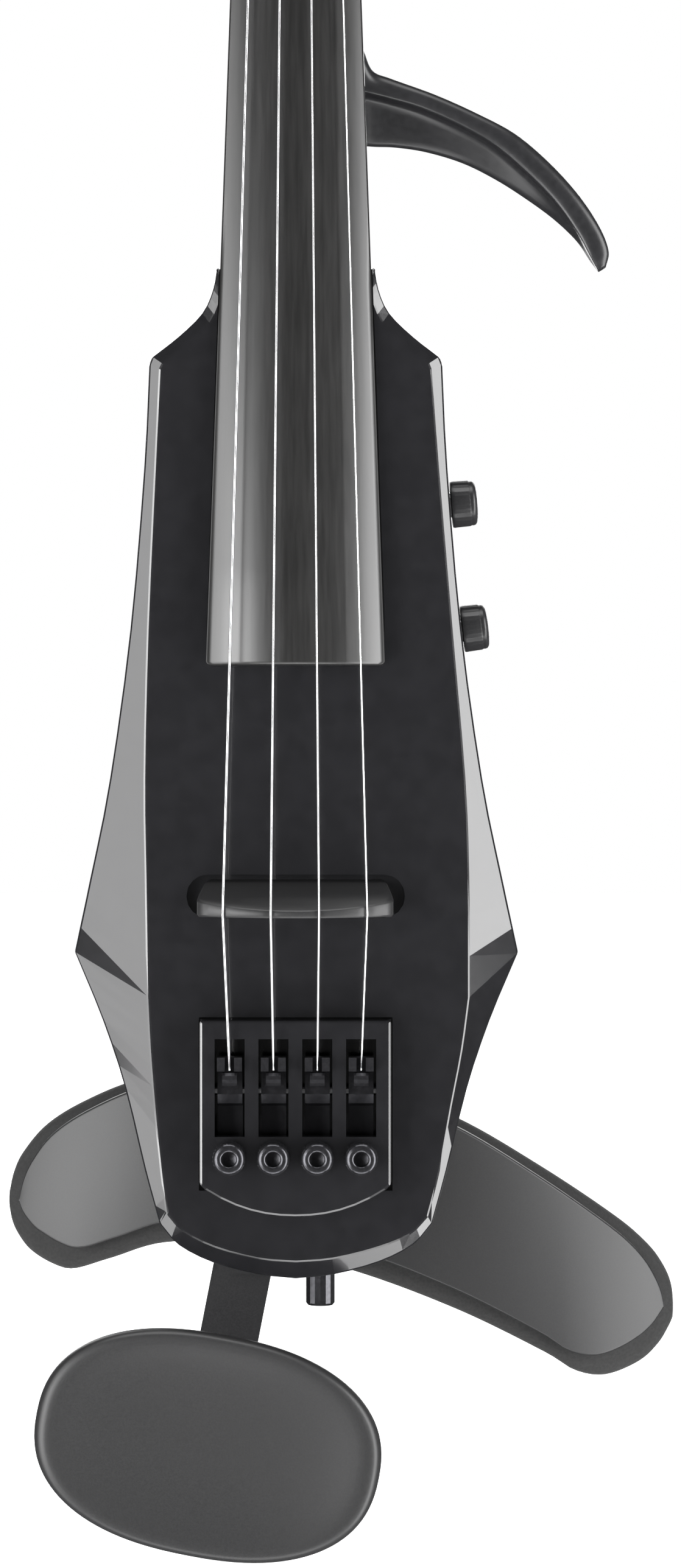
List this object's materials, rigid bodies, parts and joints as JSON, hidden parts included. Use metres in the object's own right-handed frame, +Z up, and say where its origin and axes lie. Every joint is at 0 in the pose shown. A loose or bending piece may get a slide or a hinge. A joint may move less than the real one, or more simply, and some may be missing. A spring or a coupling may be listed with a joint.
{
  "type": "electric violin",
  "caption": "Full-size solid-body electric violin with a faceted black body, fine tuners, side controls, upper-bout arm, chin rest and curved shoulder rest.",
  "frame": {"origin": "centre of the back cover's outer face", "axes": "+Z up the neck from the tail, +Y out of the back, +X to the right seen from the front"},
  "size_m": [0.1655, 0.0981, 0.5882],
  "materials": {
    "arm_black": "satin lacquer",
    "circuit": "solder mask",
    "dark_metal": "black nickel",
    "ebony": "oiled ebony",
    "gloss_black": "gloss lacquer",
    "knob_plastic": "satin",
    "lead_sleeve": "matt",
    "pad_foam": "matt foam rubber",
    "rest_plastic": "fine satin",
    "satin_black": "black satin",
    "steel": "polished"
  },
  "bodies": {
    "violin": {"body": "gloss_black", "neck": "gloss_black", "fingerboard": "ebony", "nut": "ebony", "bridge": "ebony", "pickup_bar": "steel", "string_g": "steel", "string_d": "steel", "string_a": "steel", "string_e": "steel", "tuner_housing": "gloss_black", "lever_axle": "steel", "back_cover": "satin_black", "cover_screw_1": "steel", "cover_screw_2": "steel", "cover_screw_3": "steel", "cover_screw_4": "steel", "circuit_board": "circuit", "volume_pot": "steel", "tone_pot": "steel", "output_jack": "steel", "jack_nut": "steel", "pickup_lead": "lead_sleeve", "jack_lead": "lead_sleeve", "upper_arm": "arm_black", "arm_dowel": "steel", "support_bracket": "satin_black", "bracket_screw_1": "steel", "bracket_screw_2": "steel", "neck_screw_1": "steel", "neck_screw_2": "steel"},
    "peg_g": {"peg_g": "ebony"},
    "peg_d": {"peg_d": "ebony"},
    "peg_a": {"peg_a": "ebony"},
    "peg_e": {"peg_e": "ebony"},
    "tuner_screw_g": {"tuner_screw_g": "dark_metal"},
    "tuner_lever_g": {"tuner_lever_g": "steel", "string_ball_g": "steel"},
    "tuner_screw_d": {"tuner_screw_d": "dark_metal"},
    "tuner_lever_d": {"tuner_lever_d": "steel", "string_ball_d": "steel"},
    "tuner_screw_a": {"tuner_screw_a": "dark_metal"},
    "tuner_lever_a": {"tuner_lever_a": "steel", "string_ball_a": "steel"},
    "tuner_screw_e": {"tuner_screw_e": "dark_metal"},
    "tuner_lever_e": {"tuner_lever_e": "steel", "string_ball_e": "steel"},
    "volume_control": {"volume_knob": "knob_plastic", "volume_shaft": "steel"},
    "tone_control": {"tone_knob": "knob_plastic", "tone_shaft": "steel"},
    "chin_bar": {"chin_bar": "satin_black"},
    "chin_rest": {"chin_rest": "rest_plastic", "chin_tilt_pin": "steel"},
    "chin_clamp_knob": {"chin_clamp_knob": "dark_metal"},
    "shoulder_block": {"shoulder_block": "satin_black", "shoulder_pin": "steel"},
    "shoulder_rest": {"shoulder_rest_plate": "rest_plastic", "shoulder_rest_pad": "pad_foam"},
    "shoulder_clamp_screw": {"shoulder_clamp_screw": "dark_metal"}
  },
  "joints": [
    {"name": "peg_g_turn", "type": "hinge", "parent": "violin", "child": "peg_g", "pos_m": [0, -0.0055, 0.284], "axis": [-1, 0, 0], "continuous": true},
    {"name": "peg_d_turn", "type": "hinge", "parent": "violin", "child": "peg_d", "pos_m": [0, -0.0016, 0.312], "axis": [-1, 0, 0], "continuous": true},
    {"name": "peg_a_turn", "type": "hinge", "parent": "violin", "child": "peg_a", "pos_m": [0, 0.0004, 0.326], "axis": [1, 0, 0], "continuous": true},
    {"name": "peg_e_turn", "type": "hinge", "parent": "violin", "child": "peg_e", "pos_m": [0, -0.0036, 0.298], "axis": [1, 0, 0], "continuous": true},
    {"name": "tuner_screw_g_turn", "type": "hinge", "parent": "violin", "child": "tuner_screw_g", "pos_m": [-0.0153, -0.04, -0.119], "axis": [0, 1, 0], "range_deg": [-365, 725]},
    {"name": "tuner_lever_g_rock", "type": "hinge", "parent": "violin", "child": "tuner_lever_g", "pos_m": [-0.0153, -0.03, -0.104], "axis": [1, 0, 0], "range_deg": [-1.8, 3.6]},
    {"name": "tuner_screw_d_turn", "type": "hinge", "parent": "violin", "child": "tuner_screw_d", "pos_m": [-0.0051, -0.04, -0.119], "axis": [0, 1, 0], "range_deg": [-365, 725]},
    {"name": "tuner_lever_d_rock", "type": "hinge", "parent": "violin", "child": "tuner_lever_d", "pos_m": [-0.0051, -0.03, -0.104], "axis": [1, 0, 0], "range_deg": [-1.8, 3.6]},
    {"name": "tuner_screw_a_turn", "type": "hinge", "parent": "violin", "child": "tuner_screw_a", "pos_m": [0.0051, -0.04, -0.119], "axis": [0, 1, 0], "range_deg": [-365, 725]},
    {"name": "tuner_lever_a_rock", "type": "hinge", "parent": "violin", "child": "tuner_lever_a", "pos_m": [0.0051, -0.03, -0.104], "axis": [1, 0, 0], "range_deg": [-1.8, 3.6]},
    {"name": "tuner_screw_e_turn", "type": "hinge", "parent": "violin", "child": "tuner_screw_e", "pos_m": [0.0153, -0.04, -0.119], "axis": [0, 1, 0], "range_deg": [-365, 725]},
    {"name": "tuner_lever_e_rock", "type": "hinge", "parent": "violin", "child": "tuner_lever_e", "pos_m": [0.0153, -0.03, -0.104], "axis": [1, 0, 0], "range_deg": [-1.8, 3.6]},
    {"name": "volume_turn", "type": "hinge", "parent": "violin", "child": "volume_control", "pos_m": [0.0362, -0.0105, 0.0344], "axis": [0.9968, 0, 0.0802], "range_deg": [-150, 150]},
    {"name": "tone_turn", "type": "hinge", "parent": "violin", "child": "tone_control", "pos_m": [0.0388, -0.0105, 0.0047], "axis": [0.9925, 0, 0.1219], "range_deg": [-150, 150]},
    {"name": "chin_bar_swing", "type": "hinge", "parent": "violin", "child": "chin_bar", "pos_m": [-0.01, 0.0055, -0.13285], "axis": [0, 1, 0], "range_deg": [-20, 20]},
    {"name": "chin_rest_tilt", "type": "hinge", "parent": "chin_bar", "child": "chin_rest", "pos_m": [-0.02017, -0.033, -0.18517], "axis": [0.9816, 0, -0.1908], "range_deg": [-12, 12]},
    {"name": "chin_clamp_turn", "type": "hinge", "parent": "violin", "child": "chin_clamp_knob", "pos_m": [-0.01, 0.011, -0.13285], "axis": [0, 1, 0], "range_deg": [-90, 360]},
    {"name": "shoulder_rest_swivel", "type": "hinge", "parent": "violin", "child": "shoulder_block", "pos_m": [0.006, 0.005, -0.12], "axis": [0, 1, 0], "range_deg": [-10, 10]},
    {"name": "shoulder_rest_tilt", "type": "hinge", "parent": "shoulder_block", "child": "shoulder_rest", "pos_m": [0.006, 0.0115, -0.12], "axis": [1, 0, 0], "range_deg": [-6, 6]},
    {"name": "shoulder_clamp_turn", "type": "hinge", "parent": "shoulder_block", "child": "shoulder_clamp_screw", "pos_m": [0.0056, 0.0102, -0.146], "axis": [0, 0, 1], "range_deg": [-360, 90]}
  ],
  "couplings": [
    {"joint": "tuner_screw_g_turn", "follows": "tuner_lever_g_rock", "ratio": 200},
    {"joint": "tuner_screw_d_turn", "follows": "tuner_lever_d_rock", "ratio": 200},
    {"joint": "tuner_screw_a_turn", "follows": "tuner_lever_a_rock", "ratio": 200},
    {"joint": "tuner_screw_e_turn", "follows": "tuner_lever_e_rock", "ratio": 200}
  ]
}
